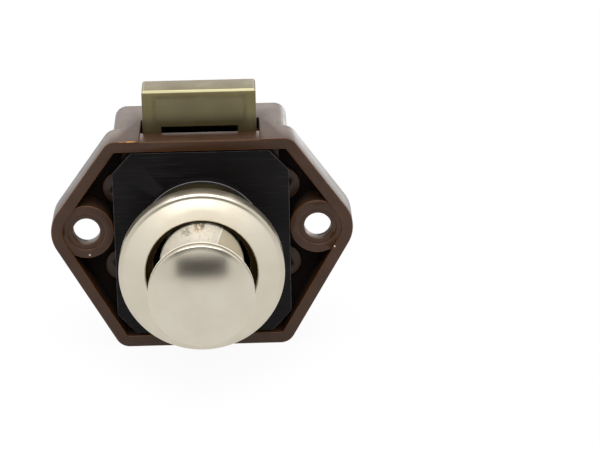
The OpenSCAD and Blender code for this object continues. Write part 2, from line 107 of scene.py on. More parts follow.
class Sheet:
    """Adds and joins the nodes of one material, world or group."""

    def __init__(self, tree: bpy.types.NodeTree) -> None:
        """Keep the tree and empty it."""
        self.tree = tree
        tree.nodes.clear()

    def add(self, kind: str, **values: object) -> Node:
        """Add a node and set its properties and sockets.

        Args:
            kind: Blender's name of the node type without "ShaderNode".
            values: Node properties, or socket values whose names use "_" for a space.

        Returns:
            The new node.
        """
        node = self.tree.nodes.new(kind if kind.startswith("Node") else "ShaderNode" + kind)
        for name, value in values.items():
            title = name.replace("_", " ")
            if title in node.inputs:
                self.feed(node.inputs[title], value)
            else:
                setattr(node, name, value)
        return node

    def feed(self, socket: Socket, value: object) -> None:
        """Join a socket or value to an input socket.

        Args:
            socket: The input socket.
            value: A number, a vector, a colour or an output socket.
        """
        if isinstance(value, Socket):
            self.tree.links.new(value, socket)
        else:
            socket.default_value = value

    def group(self, tree: bpy.types.NodeTree, **values: object) -> Node:
        """Add a node group, with values for its sockets."""
        return self.add("Group", node_tree=tree, **values)

    def math(self, operation: str, *values: object, clamp: bool = False, kind: str = "Math") -> Socket:
        """Add a math node.

        Args:
            operation: The operation's name.
            values: Numbers, vectors or sockets, in order.
            clamp: Whether the result is kept from 0 to 1.
            kind: The node type, "Math" or "VectorMath".

        Returns:
            The result.
        """
        node = self.add(kind, operation=operation)
        if clamp:
            node.use_clamp = True
        for socket, value in zip(node.inputs, values):
            self.feed(socket, value)
        return node.outputs[0]

    def times(self, *values: object, clamp: bool = False) -> Socket:
        """Multiply two or more values.

        Args:
            values: Numbers or sockets, in order.
            clamp: Whether the product is kept from 0 to 1.

        Returns:
            The product.
        """
        product = values[0]
        for value in values[1:-1]:
            product = self.math("MULTIPLY", product, value)
        return self.math("MULTIPLY", product, values[-1], clamp=clamp)

    def length(self, first: object, second: object) -> Socket:
        """Length of two sides that stand at right angles."""
        squares = [self.math("POWER", side, 2.0) for side in (first, second)]
        return self.math("SQRT", self.math("ADD", *squares))

    def span(self, value: object, low: float, high: float, start: float = 0.0, end: float = 1.0) -> Socket:
        """Map a value from one range to another, clamped and smooth.

        Args:
            value: The value.
            low: Value that gives start.
            high: Value that gives end.
            start: Result at low.
            end: Result at high.

        Returns:
            The mapped value.
        """
        node = self.add("MapRange", interpolation_type="SMOOTHSTEP", clamp=True)
        for socket, item in zip(node.inputs[:5], (value, low, high, start, end)):
            self.feed(socket, item)
        return node.outputs[0]

    def ramp(self, value: object, low: float, high: float) -> Socket:
        """Mask that is nought at low and one at high, both in millimetres."""
        return self.span(value, low * MM, high * MM)

    def band(self, value: object, middle: float, half: float, soft: float) -> Socket:
        """Mask of the band around a middle, all in millimetres."""
        off = self.math("ABSOLUTE", self.math("SUBTRACT", value, middle * MM))
        return self.ramp(off, half + soft, half)

    def blend(self, factor: object, first: object, second: object) -> Socket:
        """Mix two colours.

        Args:
            factor: Share of the second colour.
            first: A colour or socket.
            second: A colour or socket.

        Returns:
            The mixed colour.
        """
        node = self.add("Mix", data_type="RGBA")
        for socket, item in ((node.inputs[0], factor), (node.inputs[6], first), (node.inputs[7], second)):
            self.feed(socket, rgba(item) if isinstance(item, tuple) and len(item) == 3 else item)
        return node.outputs[2]

    def shaders(self, factor: object, first: Node, second: Node) -> Node:
        """Mix two shaders.

        Args:
            factor: Share of the second shader.
            first: The first shader's node.
            second: The second shader's node.

        Returns:
            The node that mixes them.
        """
        node = self.add("MixShader", Fac=factor)
        self.feed(node.inputs[1], first.outputs[0])
        self.feed(node.inputs[2], second.outputs[0])
        return node

    def place(self) -> Socket:
        """Object coordinates."""
        return self.add("TexCoord").outputs["Object"]

    def axes(self) -> tuple[Socket, ...]:
        """Object coordinates along X, Y and Z."""
        return tuple(self.add("SeparateXYZ", Vector=self.place()).outputs)

    def edge(self) -> Socket:
        """Mark of the rounded edges, of 0 to 1."""
        return self.add("Attribute", attribute_name=EDGE_ATTRIBUTE).outputs["Fac"]

    def noise(
        self, scale: object, detail: float = 3.0, rough: float = 0.6, over: Optional[Socket] = None
    ) -> Socket:
        """Noise of 0 to 1 over a vector, which is object coordinates if left out."""
        vector = self.place() if over is None else over
        return self.add("TexNoise", Vector=vector, Scale=scale, Detail=detail, Roughness=rough).outputs[0]

    def spot(self, middle: Point, radius: float, soft: float) -> Socket:
        """Mask of a ragged round spot seen from the front, all in millimetres.

        Args:
            middle: Its place along X and Z.
            radius: Its radius.
            soft: Width over which it fades out.

        Returns:
            One inside the spot and nought outside.
        """
        x, _, z = self.axes()
        sides = [self.math("SUBTRACT", side, off * MM) for side, off in zip((x, z), middle)]
        ragged = self.times(self.noise(SPOT_GRAIN), radius * MM)
        edge = SPOT_REACH * radius
        return self.ramp(self.math("ADD", self.length(*sides), ragged), edge + soft, edge)


class Effects:
    """Node groups that the finishes share, each built once."""

    edge_grain = 400.0
    edge_patches: Run = (0.32, 0.62, 0.35, 1.0)
    # Dust on upward faces, which is also a painted sheen of the top light
    dust_and_sheen_grain = 250.0
    dust_and_sheen_patches: Run = (0.35, 0.75, 0.3, 1.0)
    dust_and_sheen_slope: Point = (0.55, 1.0)
    tone_span: Point = (0.3, 0.7)

    def __init__(self) -> None:
        """Build every group."""
        self.grain = self._grain()
        self.edges = self._edges()
        self.dust_and_sheen = self._dust_and_sheen()
        self.lines = self._lines()
        self.rings = self._rings()

    @staticmethod
    def _start(
        name: str, inputs: dict[str, object], outputs: tuple[str, ...]
    ) -> tuple[Sheet, bpy.types.NodeOutputs, bpy.types.NodeInputs]:
        """Open a group with its sockets.

        Args:
            name: The group's name.
            inputs: Socket name to default, a number or a vector.
            outputs: Names of the float outputs.

        Returns:
            The group's sheet, what it is given and what it puts out.
        """
        group = bpy.data.node_groups.new(name, "ShaderNodeTree")
        sheet = Sheet(group)
        for title, default in inputs.items():
            kind = "NodeSocketVector" if isinstance(default, tuple) else "NodeSocketFloat"
            group.interface.new_socket(title, in_out="INPUT", socket_type=kind).default_value = default
        for title in outputs:
            group.interface.new_socket(title, in_out="OUTPUT", socket_type="NodeSocketFloat")
        return sheet, sheet.add("NodeGroupInput").outputs, sheet.add("NodeGroupOutput").inputs

    def _grain(self) -> bpy.types.NodeTree:
        """Build fine surface grain with a slow change of tone.

        Returns:
            The group.
        """
        s, given, out = self._start("surface_grain", {"Fine": 3000.0, "Slow": 120.0}, ("Height", "Tone"))
        s.feed(out["Height"], s.noise(given["Fine"], 4.0))
        s.feed(out["Tone"], s.span(s.noise(given["Slow"], rough=0.55), *self.tone_span))
        return s.tree

    def _edges(self) -> bpy.types.NodeTree:
        """Build the mask of the rounded edges, broken up by noise, for edge wear and a painted edge
        highlight.

        Returns:
            The group.
        """
        s, given, out = self._start("edge_wear_and_highlight", {"Amount": 1.0}, ("Mask",))
        patch = s.span(s.noise(self.edge_grain), *self.edge_patches)
        s.feed(out["Mask"], s.times(s.edge(), patch, given["Amount"], clamp=True))
        return s.tree

    def _dust_and_sheen(self) -> bpy.types.NodeTree:
        """Build the thin haze of dust on faces that look up, which also paints a sheen of top light on them.

        Returns:
            The group.
        """
        s, given, out = self._start("dust_and_sheen_haze", {"Amount": 0.3}, ("Mask",))
        normal = s.add("SeparateXYZ", Vector=s.add("NewGeometry").outputs["Normal"])
        upward = s.span(normal.outputs[2], *self.dust_and_sheen_slope)
        cloud = s.span(s.noise(self.dust_and_sheen_grain, 5.0, 0.65), *self.dust_and_sheen_patches)
        s.feed(out["Mask"], s.times(upward, cloud, given["Amount"], clamp=True))
        return s.tree

    def _lines(self) -> bpy.types.NodeTree:
        """Build fine straight lines, from noise stretched by its scale.

        Returns:
            The group.
        """
        s, given, out = self._start("straight_lines", {"Stretch": (60.0, 3000.0, 3000.0)}, ("Height",))
        where = s.math("MULTIPLY", s.place(), given["Stretch"], kind="VectorMath")
        s.feed(out["Height"], s.noise(1.0, 2.0, 0.7, where))
        return s.tree

    def _rings(self) -> bpy.types.NodeTree:
        """Build turned lines around an axis that runs from front to rear.

        Returns:
            The group.
        """
        inputs = {"Centre": (0.0, 0.0, 0.0), "Pitch": 0.0004}
        s, given, out = self._start("turned_lines", inputs, ("Height", "Radius"))
        off = s.math("SUBTRACT", s.place(), given["Centre"], kind="VectorMath")
        x, _, z = s.add("SeparateXYZ", Vector=off).outputs
        radius = s.length(x, z)
        turn = s.add("CombineXYZ", X=s.math("DIVIDE", radius, given["Pitch"]))
        s.feed(out["Radius"], radius)
        s.feed(out["Height"], s.noise(1.0, 2.0, over=turn.outputs[0]))
        return s.tree


class Surface(Enum):
    """How the fine relief of a finish runs, with the share of its own lines in it."""

    MOULDED = 0.0
    LINED = 0.8
    TURNED = 0.45
    CAST = 0.5


@dataclass(frozen=True)
class Finish:
    """A finish of plastic or metal with grain, edge wear with a painted edge highlight, and dust that also
    paints a sheen on upward faces.

    Depth and pitch are in millimetres. Fine, slow and stretch are noise scales.
    """

    name: str
    slot: str
    colour: Colour
    shade: Colour
    # Colour of the rounded edges: wear and a painted edge highlight
    edge: Colour
    surface: Surface = Surface.MOULDED
    metal: float = 0.0
    rough: float = 0.4
    rough_swing: float = 0.08
    specular: float = 0.5
    relief: float = 0.25
    depth: float = 0.01
    fine: float = 2600.0
    slow: float = 140.0
    lumps: float = 0.3
    stretch: Place = (80.0, 2600.0, 2600.0)
    pitch: float = 0.25
    edge_amount: float = 0.6
    dust_and_sheen: float = 0.0
    dust_rough: float = 0.25
    dust_and_sheen_colour: Colour = (0.55, 0.52, 0.48)

    def height(self, s: Sheet, effects: Effects) -> Socket:
        """Relief of the finish.

        Args:
            s: The material's sheet.
            effects: The shared node groups.

        Returns:
            A height of 0 to 1.
        """
        grain = s.group(effects.grain, Fine=self.fine, Slow=self.slow).outputs["Height"]
        if self.surface is Surface.MOULDED:
            return grain
        if self.surface is Surface.LINED:
            own = s.group(effects.lines, Stretch=self.stretch).outputs["Height"]
        elif self.surface is Surface.TURNED:
            own = s.group(effects.rings, Pitch=self.pitch * MM).outputs["Height"]
        else:
            own = s.noise(self.fine * self.lumps, 2.0, 0.5)
        share = self.surface.value
        return s.math("ADD", s.times(own, share), s.times(grain, 1 - share))

    def roughness(self, s: Sheet, rough: Socket) -> Socket:
        """Roughness of the finish, from its even part."""
        return rough

    def metallic(self, s: Sheet) -> object:
        """How metallic the finish is, as a number or socket."""
        return self.metal

    def tint(self, s: Sheet, effects: Effects, tone: Socket) -> Socket:
        """Colour of the finish over the surface, with edge wear and a painted edge highlight, before dust
        and painted sheen.
        """
        # Rounded edges take the edge colour, as wear and a painted highlight
        edge_wear_and_highlight_mask = s.group(effects.edges, Amount=self.edge_amount).outputs["Mask"]
        return s.blend(edge_wear_and_highlight_mask, s.blend(tone, self.colour, self.shade), self.edge)

    def material(self, effects: Effects) -> bpy.types.Material:
        """Build the material.

        Args:
            effects: The shared node groups.

        Returns:
            The finished material.
        """
        material = bpy.data.materials.new(self.name)
        material.use_nodes = True
        s = Sheet(material.node_tree)
        tone = s.group(effects.grain, Fine=self.fine, Slow=self.slow).outputs["Tone"]
        colour = self.tint(s, effects, tone)
        even = s.span(tone, 0.0, 1.0, self.rough - self.rough_swing, self.rough + self.rough_swing)
        rough = self.roughness(s, even)
        # Dust on upward faces; its light colour is also a painted sheen of the top light
        if self.dust_and_sheen > 0:
            mask = s.group(effects.dust_and_sheen, Amount=self.dust_and_sheen).outputs["Mask"]
            colour = s.blend(mask, colour, self.dust_and_sheen_colour)
            rough = s.math("ADD", rough, s.times(mask, self.dust_rough), clamp=True)
        bump = s.add("Bump", Strength=self.relief, Distance=self.depth * MM, Height=self.height(s, effects))
        shader = s.add(
            "BsdfPrincipled",
            Base_Color=colour,
            Roughness=rough,
            Metallic=self.metallic(s),
            Normal=bump.outputs[0],
            Specular_IOR_Level=self.specular,
        )
        s.add("OutputMaterial", Surface=shader.outputs[0])
        return material


@dataclass(frozen=True)
class CaseFinish(Finish):
    """Brown moulding with turned steps on its bosses, a few light specks, painted shade in its pockets and a
    painted orange glint on its upper edge.

    Pairs of places give where a mask starts and where it is full, in millimetres.
    """

    boss: Point = (23.0, 1.7)
    boss_edge: Point = (5.4, 5.3)
    boss_pitch: float = 0.55
    boss_relief: float = 1.4
    front_y: Point = (0.9, 0.7)
    specks: tuple[Point, ...] = ((-22.5, -3.12), (26.29, -2.44))
    speck_radius: float = 0.12
    speck_soft: float = 0.1
    speck_colour: Colour = screen(196, 190, 184)
    # Painted shade of the pocket floors and wall feet, and its share
    painted_pocket_shade: Colour = screen(12, 5, 2)
    painted_pocket_shade_share: float = 0.95
    deep_rough: float = 0.6
    floor_y: Point = (6.1, 6.4)
    floor_turn: Point = (-0.8, -0.95)
    wall_y: Point = (1.0, 5.6)
    wall_turn: Point = (1.0, -3.0)
    # Painted highlight: the orange glint on the upper front edge of the rim
    glow: Colour = screen(210, 140, 62)
    painted_glint_band: Place = (-14.1, 1.4, 0.5)
    painted_glint_z: Point = (20.0, 20.2)
    painted_glint_grain: float = 1100.0
    painted_glint_patches: Run = (0.4, 0.6, 0.15, 0.9)

    def height(self, s: Sheet, effects: Effects) -> Socket:
        """Grain, with fine rings on the two bosses.

        Args:
            s: The material's sheet.
            effects: The shared node groups.

        Returns:
            The height.
        """
        total = super().height(s, effects)
        x, z = self.boss
        for side in (-1, 1):
            centre = (side * x * MM, 0.0, z * MM)
            rings = s.group(effects.rings, Centre=centre, Pitch=self.boss_pitch * MM).outputs
            inside = s.ramp(rings["Radius"], *self.boss_edge)
            total = s.math("ADD", total, s.times(rings["Height"], inside, self.boss_relief))
        return total

    def _pocket(self, s: Sheet) -> Socket:
        """Find the pocket floor and the foot of the walls round it, where shade is painted.

        Args:
            s: The material's sheet.

        Returns:
            One there and nought elsewhere.
        """
        x, y, z = s.axes()
        turn = s.add("SeparateXYZ", Vector=s.add("NewGeometry").outputs["Normal"]).outputs
        floor = s.times(s.ramp(y, *self.floor_y), s.span(turn[1], *self.floor_turn))
        inward = s.math("ADD", s.times(turn[0], x), s.times(turn[2], z))
        wall = s.times(s.ramp(y, *self.wall_y), s.ramp(inward, *self.wall_turn))
        return s.math("MAXIMUM", floor, wall)

    def roughness(self, s: Sheet, rough: Socket) -> Socket:
        """Duller in the pockets."""
        return s.math("ADD", rough, s.times(self._pocket(s), self.deep_rough), clamp=True)

    def tint(self, s: Sheet, effects: Effects, tone: Socket) -> Socket:
        """Brown with painted shade in the pockets, light specks and a painted orange glint on the upper
        edge.

        Args:
            s: The material's sheet.
            effects: The shared node groups.
            tone: Slow change of tone.

        Returns:
            The colour.
        """
        # Painted shade: pocket floors and wall feet are darkened where shade falls in them
        painted_pocket_shade_mask = s.times(self._pocket(s), self.painted_pocket_shade_share)
        colour = s.blend(painted_pocket_shade_mask, super().tint(s, effects, tone), self.painted_pocket_shade)
        x, y, z = s.axes()
        front = s.ramp(y, *self.front_y)
        for middle in self.specks:
            mask = s.times(s.spot(middle, self.speck_radius, self.speck_soft), front)
            colour = s.blend(mask, colour, self.speck_colour)
        # Painted highlight: a broken orange glint along the upper rim edge
        broken = s.span(s.noise(self.painted_glint_grain), *self.painted_glint_patches)
        upper = s.ramp(z, *self.painted_glint_z)
        painted_glint_mask = s.times(s.band(x, *self.painted_glint_band), s.edge(), upper, front, broken)
        return s.blend(painted_glint_mask, colour, self.glow)


@dataclass(frozen=True)
class PlateFinish(Finish):
    """Black plate with fine level lines and a painted highlight on the edges of its collar."""

    line: Colour = screen(40, 38, 38)
    line_span: Point = (0.5, 0.75)
    line_share: float = 0.6
    # Painted highlight on the collar's rounded edges, and its share
    painted_collar_highlight: Colour = screen(128, 126, 128)
    painted_collar_highlight_share: float = 0.8
    collar_y: Point = (0.2, -0.1)

    def tint(self, s: Sheet, effects: Effects, tone: Socket) -> Socket:
        """Black with slightly lighter lines, and a painted highlight on the collar's edges.

        Args:
            s: The material's sheet.
            effects: The shared node groups.
            tone: Slow change of tone.

        Returns:
            The colour.
        """
        lines = s.group(effects.lines, Stretch=self.stretch).outputs["Height"]
        lined = s.times(s.span(lines, *self.line_span), self.line_share)
        colour = s.blend(lined, super().tint(s, effects, tone), self.line)
        # Painted highlight on the collar's edges
        collar = s.ramp(s.axes()[1], *self.collar_y)
        return s.blend(s.times(s.edge(), collar, self.painted_collar_highlight_share), colour, self.painted_collar_highlight)


@dataclass(frozen=True)
class BoltFinish(Finish):
    """Olive moulding with a shallow sunk field on its front.

    Pairs of places give where a mask starts and where it is full, in millimetres.
    """

    sink_x: Place = (0.1, 8.2, 0.8)
    sink_z: Place = (24.95, 1.9, 0.6)
    sink_y: Point = (7.0, 6.5)
    sink_relief: float = 5.0
    sink_colour: Colour = screen(92, 86, 68)
    sink_share: float = 0.35
    streak: Place = (140.0, 300.0, 900.0)
    streak_span: Point = (0.4, 0.7)
    streak_share: float = 0.4
    rim_width: float = 0.7
    rim_grain: float = 420.0
    rim_patches: Run = (0.35, 0.65, 0.4, 1.0)
    # Painted shade round the edge of the sunk field, and its share
    painted_sink_rim_shade: Colour = screen(62, 55, 34)
    painted_sink_rim_shade_share: float = 0.5
    # Painted shade: the bolt's front darkens towards its foot by the ledge
    painted_foot_shade_z: Point = (24.6, 21.6)
    foot: Colour = screen(52, 43, 20)
    # Painted highlight along the bolt's top front edge
    painted_brow_highlight_z: Point = (28.4, 28.55)
    painted_brow_highlight_y: Point = (6.6, 6.45)
    painted_brow_highlight: Colour = screen(210, 202, 156)
    end_share: float = 0.85

    def _sink(self, s: Sheet, grow: float = 0.0) -> Socket:
        """Find the sunk field.

        Args:
            s: The material's sheet.
            grow: What is added on every side, in millimetres.

        Returns:
            One in the field and nought outside.
        """
        x, y, z = s.axes()
        sides = [
            s.band(value, middle, half + grow, soft)
            for value, (middle, half, soft) in ((x, self.sink_x), (z, self.sink_z))
        ]
        return s.times(*sides, s.ramp(y, *self.sink_y))

    def height(self, s: Sheet, effects: Effects) -> Socket:
        """Grain, lower in the sunk field."""
        return s.math("SUBTRACT", super().height(s, effects), s.times(self._sink(s), self.sink_relief))

    def tint(self, s: Sheet, effects: Effects, tone: Socket) -> Socket:
        """Olive with faint streaks, painted shade round the sunk field, painted shade towards the foot and a
        painted highlight along the top front edge.

        Args:
            s: The material's sheet.
            effects: The shared node groups.
            tone: Slow change of tone.

        Returns:
            The colour.
        """
        _, y, z = s.axes()
        lines = s.group(effects.lines, Stretch=self.streak).outputs["Height"]
        streaks = s.times(s.span(lines, *self.streak_span), self.streak_share)
        colour = s.blend(streaks, super().tint(s, effects, tone), self.shade)
        sink = self._sink(s)
        # Painted shade along the border of the sunk field
        rim = s.math("SUBTRACT", self._sink(s, self.rim_width), sink, clamp=True)
        patchy = s.span(s.noise(self.rim_grain), *self.rim_patches)
        colour = s.blend(s.times(rim, patchy, self.painted_sink_rim_shade_share), colour, self.painted_sink_rim_shade)
        colour = s.blend(s.times(sink, self.sink_share), colour, self.sink_colour)
        # Painted shade towards the foot of the bolt
        colour = s.blend(s.times(s.ramp(z, *self.painted_foot_shade_z), self.end_share), colour, self.foot)
        # Painted highlight on the top front edge
        painted_brow_highlight = s.times(s.ramp(z, *self.painted_brow_highlight_z), s.ramp(y, *self.painted_brow_highlight_y), self.end_share)
        return s.blend(painted_brow_highlight, colour, self.painted_brow_highlight)


@dataclass(frozen=True)
class BarrelFinish(Finish):
    """Dull olive tube, with painted shade inside its bore."""

    bore: Point = (11.0, 10.9)
    painted_bore_shade: Colour = screen(40, 30, 14)

    def tint(self, s: Sheet, effects: Effects, tone: Socket) -> Socket:
        """Olive outside, with painted shade in the bore."""
        # Painted shade inside the bore
        inside = s.ramp(s.group(effects.rings).outputs["Radius"], *self.bore)
        return s.blend(inside, super().tint(s, effects, tone), self.painted_bore_shade)


@dataclass(frozen=True)
class KnobFinish(Finish):
    """Nickel plated casting, rough behind its disc, with a seam on its flange.

    Pairs of places give where a mask starts and where it is full, in millimetres.
    A stain is its place along X and Z, its radius and its colour. Behind the disc the colour is painted
    light, nearly white, and the seam's colour is a painted highlight.
    """

    cast_y: float = -30.5
    # Painted light: nearly white colour that brightens the shaded flange and neck
    painted_light_cast: Colour = screen(244, 237, 222)
    cast_metal: float = 0.0
    cast_rough: float = 0.25
    flange_y: float = -15.6
    fade: float = 0.5
    pits: Place = (1300.0, 4.0, 0.65)
    pit_relief: float = 9.0
    speckle: Place = (1500.0, 4.0, 0.7)
    speckle_span: Point = (0.5, 0.62)
    speckle_side: Point = (0.1, -0.1)
    speckle_colour: Colour = screen(168, 148, 110)
    speckle_share: float = 0.25
    stains: tuple[tuple[float, float, float, Colour], ...] = (
        (-2.9, 6.6, 0.45, screen(140, 128, 106)),
        (-0.6, 7.2, 0.35, screen(196, 156, 104)),
        (-0.3, 7.75, 0.3, screen(104, 82, 60)),
        (0.5, 7.85, 0.22, screen(104, 82, 60)),
    )
    stain_soft: float = 0.9
    stain_grain: float = 1400.0
    stain_span: Point = (0.38, 0.55)
    stain_share: float = 0.75
    upper_z: Point = (0.0, 2.0)
    flank_side: Point = (0.0, 0.25)
    flank_colour: Colour = screen(202, 190, 158)
    flank_share: float = 0.75
    seam: tuple[Point, Point] = ((4.27, 7.34), (2.87, 3.78))
    seam_side: Point = (0.16, 0.06)
    # Painted highlight along the seam
    painted_seam_highlight: Colour = screen(255, 254, 250)

    def _behind(self, s: Sheet, place: float) -> Socket:
        """Mask of what lies behind a place along the axis, in millimetres."""
        return s.ramp(s.axes()[1], place, place + self.fade)

    def _seam(self, s: Sheet) -> Socket:
        """Measure the distance from the parting seam.

        Args:
            s: The material's sheet.

        Returns:
            The distance in metres, with its sign telling the side.
        """
        (x0, z0), (x1, z1) = self.seam
        length = math.hypot(x1 - x0, z1 - z0)
        x, _, z = s.axes()
        across = s.times(s.math("SUBTRACT", x, x0 * MM), (z0 - z1) / length)
        upright = s.times(s.math("SUBTRACT", z, z0 * MM), (x1 - x0) / length)
        return s.math("ADD", across, upright)

    def metallic(self, s: Sheet) -> Socket:
        """Less metallic on the rough casting behind the disc."""
        return s.span(self._behind(s, self.cast_y), 0.0, 1.0, self.metal, self.cast_metal)

    def roughness(self, s: Sheet, rough: Socket) -> Socket:
        """Rougher behind the disc."""
        return s.math("ADD", rough, s.times(self._behind(s, self.cast_y), self.cast_rough), clamp=True)

    def height(self, s: Sheet, effects: Effects) -> Socket:
        """Fine plating, with coarse pits on the flange."""
        pits = s.times(s.noise(*self.pits), self._behind(s, self.flange_y), self.pit_relief)
        return s.math("ADD", super().height(s, effects), pits)

    def tint(self, s: Sheet, effects: Effects, tone: Socket) -> Socket:
        """Nickel, painted nearly white behind the disc as painted light, with speckle, stains and a painted
        highlight along the seam on the flange.

        Args:
            s: The material's sheet.
            effects: The shared node groups.
            tone: Slow change of tone.

        Returns:
            The colour.
        """
        # Painted light: the flange and neck behind the disc are painted nearly white
        colour = s.blend(self._behind(s, self.cast_y), super().tint(s, effects, tone), self.painted_light_cast)
        flange = self._behind(s, self.flange_y)
        off = self._seam(s)
        left = s.times(s.ramp(off, *self.speckle_side), flange)
        speckle = s.times(s.span(s.noise(*self.speckle), *self.speckle_span), left, self.speckle_share)
        colour = s.blend(speckle, colour, self.speckle_colour)
        broken = s.times(s.span(s.noise(self.stain_grain), *self.stain_span), flange)
        for x, z, radius, stain in self.stains:
            mask = s.times(s.spot((x, z), radius, self.stain_soft), broken, self.stain_share)
            colour = s.blend(mask, colour, stain)
        upper = s.times(flange, s.ramp(s.axes()[2], *self.upper_z))
        flank = s.times(s.ramp(off, *self.flank_side), upper, self.flank_share)
        colour = s.blend(flank, colour, self.flank_colour)
        # Painted highlight: a white line along the seam
        line = s.times(s.ramp(s.math("ABSOLUTE", off), *self.seam_side), upper)
        return s.blend(line, colour, self.painted_seam_highlight)


CASE_BROWN = CaseFinish(
    name="moulded_brown",
    slot="case_plastic",
    colour=screen(60, 38, 22),
    shade=screen(52, 32, 18),
    edge=screen(110, 66, 32),
    rough=0.31,
    rough_swing=0.03,
    specular=0.3,
    relief=0.3,
    depth=0.012,
    fine=1900.0,
    edge_amount=0.5,
    dust_and_sheen=0.04,
    dust_and_sheen_colour=screen(170, 150, 140),
)
PLATE_BLACK = PlateFinish(
    name="lined_black",
    slot="plate_plastic",
    colour=screen(20, 18, 18),
    shade=screen(14, 13, 13),
    edge=screen(104, 102, 104),
    surface=Surface.LINED,
    specular=0.08,
    rough=0.42,
    relief=0.35,
    stretch=(70.0, 2400.0, 2400.0),
)
BARREL_OLIVE = BarrelFinish(
    name="dull_olive_metal",
    slot="barrel_metal",
    colour=screen(98, 88, 62),
    shade=screen(80, 70, 46),
    edge=screen(150, 140, 105),
    surface=Surface.TURNED,
    metal=1.0,
    rough=0.45,
    relief=0.3,
)
ROSETTE_NICKEL = Finish(
    name="satin_nickel_ring",
    slot="satin_nickel",
    colour=screen(202, 195, 179),
    shade=screen(196, 188, 171),
    edge=screen(216, 210, 196),
    surface=Surface.TURNED,
    metal=1.0,
    rough=0.29,
    rough_swing=0.01,
    relief=0.1,
    depth=0.006,
    fine=3200.0,
    pitch=0.18,
    edge_amount=0.4,
)
KNOB_NICKEL = KnobFinish(
    name="plated_nickel_knob",
    slot="cast_nickel",
    colour=screen(208, 201, 186),
    shade=screen(202, 194, 178),
    edge=screen(228, 224, 214),
    surface=Surface.CAST,
    metal=1.0,
    rough=0.245,
    rough_swing=0.01,
    relief=0.04,
    depth=0.006,
    fine=3000.0,
    edge_amount=0.4,
)
BRIGHT_STEEL = Finish(
    name="bright_steel",
    slot="steel",
    colour=screen(178, 178, 180),
    shade=screen(160, 160, 164),
    edge=screen(210, 210, 212),
    surface=Surface.LINED,
    metal=1.0,
    rough=0.28,
    relief=0.15,
    depth=0.004,
)
SPINDLE_BLACK = Finish(
    name="moulded_black",
    slot="spindle_plastic",
    colour=screen(40, 38, 38),
    shade=screen(32, 31, 31),
    edge=screen(80, 78, 78),
    rough=0.35,
)
BOLT_OLIVE = BoltFinish(
    name="moulded_olive",
    slot="bolt_plastic",
    colour=screen(101, 92, 56),
    shade=screen(89, 80, 48),
    edge=screen(146, 138, 100),
    rough=0.33,
    rough_swing=0.05,
    specular=0.35,
    depth=0.012,
    fine=1700.0,
    edge_amount=0.7,
)


def new_object(name: str, shape: Shape) -> Piece:
    """Turn a shape into an object of the scene, at the origin.

    Args:
        name: Name of the object and its mesh.
        shape: The shape, which is freed.

    Returns:
        The new object.
    """
    mesh = bpy.data.meshes.new(name)
    shape.to_mesh(mesh)
    shape.free()
    thing = bpy.data.objects.new(name, mesh)
    bpy.context.scene.collection.objects.link(thing)
    return thing


def smooth(piece: Piece) -> None:
    """Shade a piece smooth, with its sharp edges kept."""
    piece.data.shade_smooth()
    piece.data.set_sharp_from_angle(angle=math.radians(SMOOTH_DEGREES))


def round_edges(shape: Shape, width: float) -> None:
    """Round the sharp outward edges of a shape and mark them for the edge wear and painted edge highlight.

    Args:
        shape: The shape to change.
        width: Width of the rounding in millimetres.
    """
    sharp = math.radians(SHARP_DEGREES)
    edges = [
        edge
        for edge in shape.edges
        if edge.is_manifold and edge.is_convex and edge.calc_face_angle(0.0) > sharp
    ]
    made = bmesh.ops.bevel(
        shape,
        geom=edges,
        offset=width * MM,
        offset_type="OFFSET",
        segments=ROUND_FACETS,
        profile=0.5,
        affect="EDGES",
        material=-1,
        clamp_overlap=False,
        loop_slide=True,
    )
    layer = shape.verts.layers.float.new(EDGE_ATTRIBUTE)
    fresh = set(made["faces"])
    for vert in shape.verts:
        vert[layer] = 1.0 if vert.link_faces and all(face in fresh for face in vert.link_faces) else 0.0


def softened(node: str, name: str, width: float) -> Piece:
    """Copy a node of the frame with its sharp edges rounded.

    Args:
        node: The node to copy and stand for.
        name: Name of the new piece.
        width: Width of the rounding in millimetres.

    Returns:
        The new piece, which replaces the node.
    """
    shape = bmesh.new()
    shape.from_mesh(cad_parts[node].data)
    bmesh.ops.remove_doubles(shape, verts=shape.verts, dist=0.002 * MM)
    bmesh.ops.dissolve_limit(
        shape,
        angle_limit=math.radians(0.4),
        verts=shape.verts,
        edges=shape.edges,
        use_dissolve_boundaries=False,
    )
    round_edges(shape, width)
    piece = new_object(name, shape)
    smooth(piece)
    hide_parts(node)
    return piece


@dataclass(frozen=True)
class Corner:
    """One corner of a turned profile, with its rounding, in millimetres."""

    radius: float
    ahead: float
    rounding: float = 0.0
    steps: int = 4


def turned(name: str, corners: list[Corner], closed: bool = True) -> Piece:
    """Spin a profile round the button axis.

    Args:
        name: Name of the new piece.
        corners: The profile's corners in order, outside first.
        closed: Whether the last corner joins the first.

    Returns:
        The new piece.
    """
    shape = bmesh.new()
    verts = [shape.verts.new((c.radius * MM, -c.ahead * MM, 0.0)) for c in corners]
    count = len(verts)
    for index in range(count if closed else count - 1):
        shape.edges.new((verts[index], verts[(index + 1) % count]))
    for vert, corner in zip(verts, corners):
        if corner.rounding > 0:
            bmesh.ops.bevel(
                shape,
                geom=[vert],
                offset=corner.rounding * MM,
                segments=corner.steps,
                profile=0.5,
                affect="VERTICES",
                material=-1,
            )
    bmesh.ops.spin(
        shape,
        geom=shape.verts[:] + shape.edges[:],
        cent=(0, 0, 0),
        axis=(0, 1, 0),
        angle=math.tau,
        steps=TURN_FACETS,
        use_merge=True,
    )
    bmesh.ops.remove_doubles(shape, verts=shape.verts, dist=0.0005 * MM)
    loose = [edge for edge in shape.edges if not edge.link_faces]
    bmesh.ops.delete(shape, geom=loose, context="EDGES")
    bmesh.ops.recalc_face_normals(shape, faces=shape.faces)
    piece = new_object(name, shape)
    smooth(piece)
    return piece


